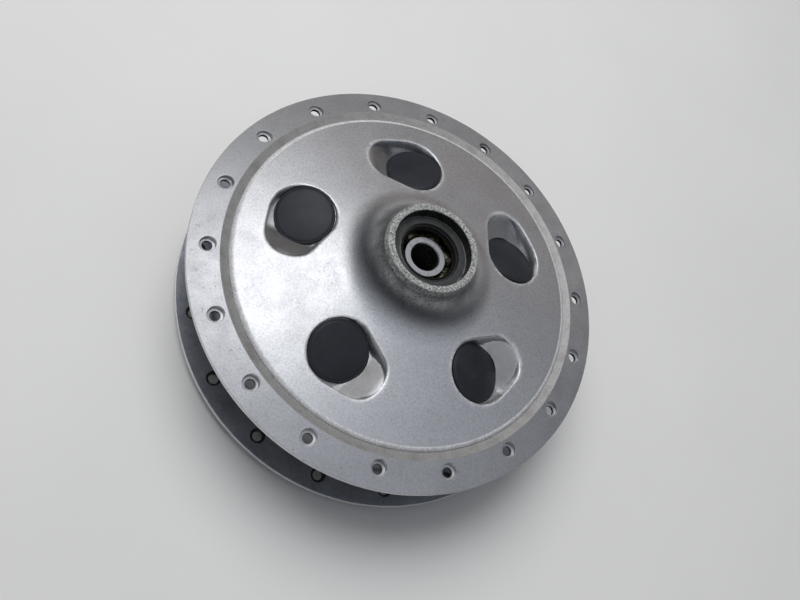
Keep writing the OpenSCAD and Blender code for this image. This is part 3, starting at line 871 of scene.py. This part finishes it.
def machined_aluminium():
    """The flanges' faces: turned, with fine grooves round the axle and light pitting."""
    f = Finish("machined_aluminium", anisotropic=0.6, anisotropic_rotation=0.25)
    tangent = f.add("ShaderNodeTangent", direction_type="RADIAL", axis="Z").outputs[0]
    f.feed(f.shader.inputs["Tangent"], tangent)
    groove = f.noise(0.5, 3, f.around_axle(), stretch=(1, 0.04, 1))
    grain = f.noise(1.1, 4, roughness=0.8)
    pit = f.math("MULTIPLY", f.span(f.cells(1.0), 0.34, 0.18), f.span(f.noise(3.5, 3), 0.56, 0.66))
    tone = f.mix(f.span(f.noise(30, 3), 0.35, 0.65), (0.84, 0.845, 0.86), (0.76, 0.765, 0.78))
    tone = f.mix(f.span(grain, 0.44, 0.66, 0.0, 0.5), tone, (0.46, 0.465, 0.48))
    colour = f.mix(f.math("MULTIPLY", pit, 0.7), tone, (0.18, 0.18, 0.18))
    roughness = f.span(f.noise(9, 3), 0.3, 0.7, 0.34, 0.44)
    normal = f.bump(groove, 0.015)
    normal = f.bump(grain, 0.07, normal)
    normal = f.bump(f.span(pit, 0, 1, 1, 0), 0.05, normal)
    return f.done(colour, roughness, normal)


def inner_face_shaded_aluminium():
    """The flanges' inner faces: turned, darkened as painted shade between the flanges, with blotchy
    variation.
    """
    f = Finish("inner_face_shaded_aluminium")
    groove = f.noise(0.5, 3, f.around_axle(), stretch=(1, 0.04, 1))
    film = f.span(f.noise(14, 4), 0.35, 0.65)
    # Painted shade: dark tones for the faces that look at each other between the flanges.
    tone = f.mix(film, (0.38, 0.40, 0.435), (0.25, 0.265, 0.29))
    colour = f.mix(f.span(f.noise(1.1, 4, roughness=0.8), 0.5, 0.66, 0.0, 0.5), tone, (0.14, 0.14, 0.145))
    roughness = f.span(film, 0, 1, 0.33, 0.46)
    return f.done(colour, roughness, f.bump(groove, 0.02))


def corroded_aluminium():
    """The nose's end: rough, grey-white, with dirt in its pits."""
    f = Finish("corroded_aluminium", metallic=0.25)
    lumps = f.noise(1.3, 5, roughness=0.75)
    dirt = f.span(f.noise(1.0, 4, roughness=0.75), 0.53, 0.62)
    tone = f.mix(f.span(lumps, 0.38, 0.64), (0.15, 0.15, 0.14), (0.74, 0.75, 0.735))
    colour = f.mix(f.math("MULTIPLY", dirt, 0.85), tone, (0.045, 0.05, 0.035))
    roughness = f.span(lumps, 0.3, 0.7, 0.5, 0.8)
    return f.done(colour, roughness, f.bump(lumps, 0.25))


def cast_aluminium():
    """As cast: the barrel and the underside, dull and sandy with grey dust."""
    f = Finish("cast_aluminium_raw", metallic=0.85)
    sand = f.noise(1.0, 4, roughness=0.65)
    dust = f.span(f.noise(22, 4), 0.4, 0.7)
    tone = f.mix(f.span(sand, 0.3, 0.7), (0.40, 0.405, 0.41), (0.60, 0.605, 0.61))
    colour = f.mix(f.math("MULTIPLY", dust, 0.5), tone, (0.27, 0.255, 0.235))
    roughness = f.span(f.noise(6, 3), 0.3, 0.7, 0.5, 0.66)
    normal = f.bump(sand, 0.12)
    return f.done(colour, roughness, f.bump(f.noise(6, 2), 0.3, normal))


def seat_aluminium():
    """Bored and drilled surfaces: tool marks and a little dirt."""
    f = Finish("bored_aluminium")
    marks = f.noise(0.35, 3, f.around_axle(), stretch=(1, 0.03, 1))
    dirt = f.span(f.noise(5, 4), 0.48, 0.72)
    colour = f.mix(f.math("MULTIPLY", dirt, 0.55), (0.66, 0.665, 0.675), (0.12, 0.11, 0.10))
    roughness = f.span(dirt, 0, 1, 0.33, 0.55)
    return f.done(colour, roughness, f.bump(marks, 0.02))


def bore_shade_aluminium():
    """The nose's inside wall above the seal and the spoke holes' bores: painted black as shade, with specks
    of grit.
    """
    f = Finish("bore_shade_aluminium", metallic=0.3)
    grit = f.noise(0.6, 4, roughness=0.75)
    bare = f.math("MULTIPLY", f.span(grit, 0.56, 0.64), f.span(f.noise(4, 2), 0.42, 0.55))
    # Painted shade: near-black colour inside the bores, with pale specks.
    colour = f.mix(bare, (0.018, 0.019, 0.016), (0.42, 0.43, 0.38))
    roughness = f.span(f.noise(2.5, 3), 0.3, 0.7, 0.3, 0.6)
    return f.done(colour, roughness, f.bump(grit, 0.15))


def cap_rubber():
    """The caps: smooth dark moulding, with faint scratches and dust."""
    f = Finish("cap_rubber_satin", metallic=0.0)
    scratch = f.span(f.noise(0.35, 2, stretch=(1, 0.035, 1)), 0.63, 0.7)
    scratch = f.math("MULTIPLY", scratch, f.span(f.noise(9, 2), 0.5, 0.62))
    dust = f.math("MULTIPLY", f.span(f.noise(0.5, 3, roughness=0.7), 0.62, 0.72), 0.25)
    tone = f.mix(f.span(f.noise(14, 3), 0.3, 0.7), (0.011, 0.013, 0.017), (0.018, 0.021, 0.027))
    tone = f.mix(dust, tone, (0.16, 0.165, 0.165))
    colour = f.mix(f.math("MULTIPLY", scratch, 0.35), tone, (0.10, 0.105, 0.115))
    roughness = f.span(f.noise(7, 4), 0.3, 0.7, 0.34, 0.46)
    normal = f.bump(f.noise(0.4, 3), 0.008)
    return f.done(colour, roughness, f.bump(scratch, 0.01, normal))


def race_steel():
    """Ground faces of the bearing's races, with brown stains."""
    f = Finish("race_steel_ground")
    grind = f.noise(0.25, 2, f.around_axle(), stretch=(1, 0.02, 1))
    stain = f.span(f.noise(3.5, 4), 0.55, 0.75)
    tone = f.mix(f.span(grind, 0.3, 0.7), (0.86, 0.87, 0.88), (0.74, 0.745, 0.75))
    colour = f.mix(f.math("MULTIPLY", stain, 0.6), tone, (0.26, 0.21, 0.14))
    roughness = f.span(stain, 0, 1, 0.24, 0.42)
    return f.done(colour, roughness, f.bump(grind, 0.006))


def greasy(name, bare, bare_roughness):
    """Steel under patches of old olive-brown grease."""
    f = Finish(name, metallic=0.6, coat_weight=0.3, coat_roughness=0.2)
    film = f.span(f.noise(2.2, 4), 0.30, 0.50)
    tone = f.mix(f.span(f.noise(1.0, 3), 0.4, 0.7), (0.014, 0.015, 0.007), (0.10, 0.105, 0.035))
    colour = f.mix(film, bare, tone)
    roughness = f.span(film, 0, 1, bare_roughness, 0.42)
    return f.done(colour, roughness, f.bump(f.noise(1.4, 3), 0.08))


def seal_case_steel():
    """Dark coated case of a seal: fine speckle, and bare worn metal on its outer edge, painted bright there
    as its edge highlight.
    """
    f = Finish("seal_case_coated", metallic=0.35)
    f.around_axle()
    speck = f.span(f.noise(0.45, 3, roughness=0.7), 0.64, 0.7)
    # Painted highlight, with wear: the outer chamfer is mixed to bright bare metal.
    worn_and_highlight = f.math("MULTIPLY", f.span(f.radius, 22.45 * MM, 22.7 * MM), f.span(f.noise(3, 3), 0.3, 0.5))
    tone = f.mix(f.span(f.noise(6, 4), 0.3, 0.7), (0.045, 0.047, 0.05), (0.075, 0.078, 0.082))
    tone = f.mix(f.math("MULTIPLY", speck, 0.6), tone, (0.35, 0.36, 0.35))
    colour = f.mix(worn_and_highlight, tone, (0.50, 0.51, 0.51))
    roughness = f.span(f.noise(2, 3), 0.3, 0.7, 0.38, 0.55)
    return f.done(colour, roughness, f.bump(f.noise(0.6, 3), 0.03))


def seal_rubber():
    """Black nitrile lips, wet with oil."""
    f = Finish("seal_rubber_oily", metallic=0.0, coat_weight=0.5, coat_roughness=0.12)
    film = f.span(f.noise(1.8, 4), 0.4, 0.62)
    grit = f.span(f.noise(0.4, 3, roughness=0.7), 0.66, 0.72)
    tone = f.mix(film, (0.007, 0.007, 0.008), (0.018, 0.018, 0.014))
    colour = f.mix(f.math("MULTIPLY", grit, 0.5), tone, (0.22, 0.22, 0.16))
    roughness = f.span(film, 0, 1, 0.42, 0.22)
    return f.done(colour, roughness, f.bump(f.noise(0.7, 3), 0.03))


def drum_iron():
    """Brake track: concentric scoring with a bloom of rust."""
    f = Finish("drum_iron_turned", metallic=0.9)
    score = f.noise(0.5, 4, f.around_axle(), stretch=(0.2, 0.01, 1), roughness=0.7)
    rust = f.span(f.noise(7, 5, roughness=0.65), 0.48, 0.68)
    tone = f.mix(f.span(score, 0.3, 0.7), (0.30, 0.295, 0.29), (0.46, 0.455, 0.45))
    colour = f.mix(f.math("MULTIPLY", rust, 0.75), tone, (0.16, 0.075, 0.035))
    roughness = f.span(rust, 0, 1, 0.34, 0.75)
    normal = f.bump(score, 0.03)
    return f.done(colour, roughness, f.bump(f.noise(1.1, 3), 0.06, normal))


def drawn_steel(name, tone_a, tone_b):
    """Drawn tube or wire: streaks along it, and spots of rust."""
    f = Finish(name)
    streak = f.noise(0.5, 3, stretch=(1, 1, 0.08))
    rust = f.span(f.noise(3, 4), 0.56, 0.72)
    tone = f.mix(f.span(streak, 0.3, 0.7), tone_a, tone_b)
    colour = f.mix(f.math("MULTIPLY", rust, 0.5), tone, (0.15, 0.09, 0.05))
    roughness = f.span(rust, 0, 1, 0.32, 0.6)
    return f.done(colour, roughness, f.bump(streak, 0.015))


def finish_cad_nodes():
    """Gives the CAD nodes that stay their materials."""
    race, lip, case = race_steel(), seal_rubber(), seal_case_steel()
    ball = greasy("ball_steel_greased", (0.62, 0.63, 0.64), 0.12)
    cage = greasy("cage_steel_greased", (0.36, 0.34, 0.28), 0.35)
    spring = drawn_steel("spring_steel_wire", (0.50, 0.50, 0.51), (0.62, 0.62, 0.63))
    chosen = {
        "brake_liner": drum_iron(),
        "spacer_tube": drawn_steel("tube_steel_drawn", (0.30, 0.28, 0.26), (0.45, 0.43, 0.40)),
    }
    for side in ("dome", "drum"):
        chosen[f"{side}_bearing_outer_race"] = race
        chosen[f"{side}_bearing_inner_race"] = race
        chosen[f"{side}_bearing_balls"] = ball
        for part in ("cage_top", "cage_bottom", "rivets"):
            chosen[f"{side}_bearing_{part}"] = cage
        chosen[f"{side}_seal_case"] = case
        chosen[f"{side}_seal_lip"] = lip
        chosen[f"{side}_seal_spring"] = spring
    for name, material in chosen.items():
        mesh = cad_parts[name].data
        mesh.materials.clear()
        mesh.materials.append(material)


build_casting([
    polished_aluminium(), machined_aluminium(), corroded_aluminium(), cast_aluminium(),
    seat_aluminium(), bore_shade_aluminium(), shoulder_highlight_aluminium(), flank_aluminium(),
    inner_face_shaded_aluminium(),
])
cap_material = cap_rubber()
for cap_number in range(SCOOPS):
    build_cap(cap_number, cap_material)
finish_cad_nodes()

# ---- Floor, light and camera ----

def pale_floor():
    """Matt floor with a very faint tooth."""
    f = Finish("pale_floor", metallic=0.0)
    tooth = f.noise(2, 3)
    colour = f.mix(f.span(f.noise(180, 3), 0.3, 0.7), (0.74, 0.735, 0.72), (0.77, 0.765, 0.75))
    return f.done(colour, 0.8, f.bump(tooth, 0.05))


FLOOR_REACH = 4.0
floor_mesh = bpy.data.meshes.new("floor")
floor_mesh.from_pydata(
    [(x * FLOOR_REACH, y * FLOOR_REACH, 0) for x, y in ((-1, -1), (1, -1), (1, 1), (-1, 1))],
    [], [(0, 1, 2, 3)])
floor_mesh.materials.append(pale_floor())
floor = bpy.data.objects.new("floor", floor_mesh)
bpy.context.scene.collection.objects.link(floor)


def direction(azimuth, elevation):
    a, e = math.radians(azimuth), math.radians(elevation)
    return (math.cos(a) * math.cos(e), math.sin(a) * math.cos(e), math.sin(e))


def studio_world():
    """Soft studio: a dark surround, and wide soft lamps in it."""
    world = bpy.data.worlds.new("studio")
    world.use_nodes = True
    nodes, links = world.node_tree.nodes, world.node_tree.links
    look = nodes.new("ShaderNodeTexCoord").outputs["Generated"]
    total = None
    # Each lamp: its direction, the half angle at which it fades out, and its colour
    for place, half_angle, colour in (
        (direction(0, 90), 75, (0.325, 0.34, 0.365)),
        (direction(160, 68), 23, (1.5, 1.51, 1.54)),
        (direction(155, 52), 34, (0.235, 0.225, 0.215)),
        (direction(95, 5), 60, (0.145, 0.125, 0.11)),
    ):
        along = nodes.new("ShaderNodeVectorMath")
        along.operation = "DOT_PRODUCT"
        along.inputs[1].default_value = place
        links.new(look, along.inputs[0])
        fade = nodes.new("ShaderNodeMapRange")
        fade.interpolation_type = "SMOOTHSTEP"
        fade.inputs["From Min"].default_value = math.cos(math.radians(half_angle))
        links.new(along.outputs["Value"], fade.inputs["Value"])
        lamp = nodes.new("ShaderNodeVectorMath")
        lamp.operation = "SCALE"
        lamp.inputs[0].default_value = colour
        links.new(fade.outputs[0], lamp.inputs["Scale"])
        if total is None:
            total = lamp.outputs[0]
        else:
            both = nodes.new("ShaderNodeVectorMath")
            links.new(total, both.inputs[0])
            links.new(lamp.outputs[0], both.inputs[1])
            total = both.outputs[0]
    dim = nodes.new("ShaderNodeVectorMath")
    dim.inputs[1].default_value = (0.028, 0.03, 0.036)
    links.new(total, dim.inputs[0])
    links.new(dim.outputs[0], nodes["Background"].inputs["Color"])
    bpy.context.scene.world = world


def floor_lamp():
    """A wide soft lamp overhead, for the floor and for matt surfaces; gloss doesn't show it."""
    lamp = bpy.data.lights.new("floor_lamp", "AREA")
    lamp.shape = "DISK"
    lamp.size = 1.2
    lamp.energy = 14
    obj = bpy.data.objects.new("floor_lamp", lamp)
    place = Vector(direction(150, 62)) * 1.5
    obj.location = place
    obj.rotation_euler = (-place).to_track_quat("-Z", "Y").to_euler()
    obj.visible_glossy = False
    bpy.context.scene.collection.objects.link(obj)


studio_world()
floor_lamp()
bpy.context.scene.view_settings.view_transform = "Standard"

AIM = Vector((6.99, -15.98, 57.0)) * MM
DISTANCE = 452.8 * MM
VIEW_AZIMUTH, VIEW_ELEVATION = math.radians(-92.32), math.radians(58.33)
ROLL = math.radians(45.51)
SENSOR, LENS = 36, 34.32


def add_camera():
    back = Vector((
        math.cos(VIEW_AZIMUTH) * math.cos(VIEW_ELEVATION),
        math.sin(VIEW_AZIMUTH) * math.cos(VIEW_ELEVATION),
        math.sin(VIEW_ELEVATION),
    ))
    camera = bpy.data.cameras.new("camera")
    camera.sensor_width = SENSOR
    camera.lens = LENS
    camera.clip_start = 0.01
    obj = bpy.data.objects.new("camera", camera)
    level = (-back).to_track_quat("-Z", "Y").to_matrix()
    obj.matrix_world = Matrix.Translation(AIM + back * DISTANCE) @ (
        level @ Matrix.Rotation(ROLL, 3, "Z")).to_4x4()
    bpy.context.scene.collection.objects.link(obj)
    bpy.context.scene.camera = obj


add_camera()
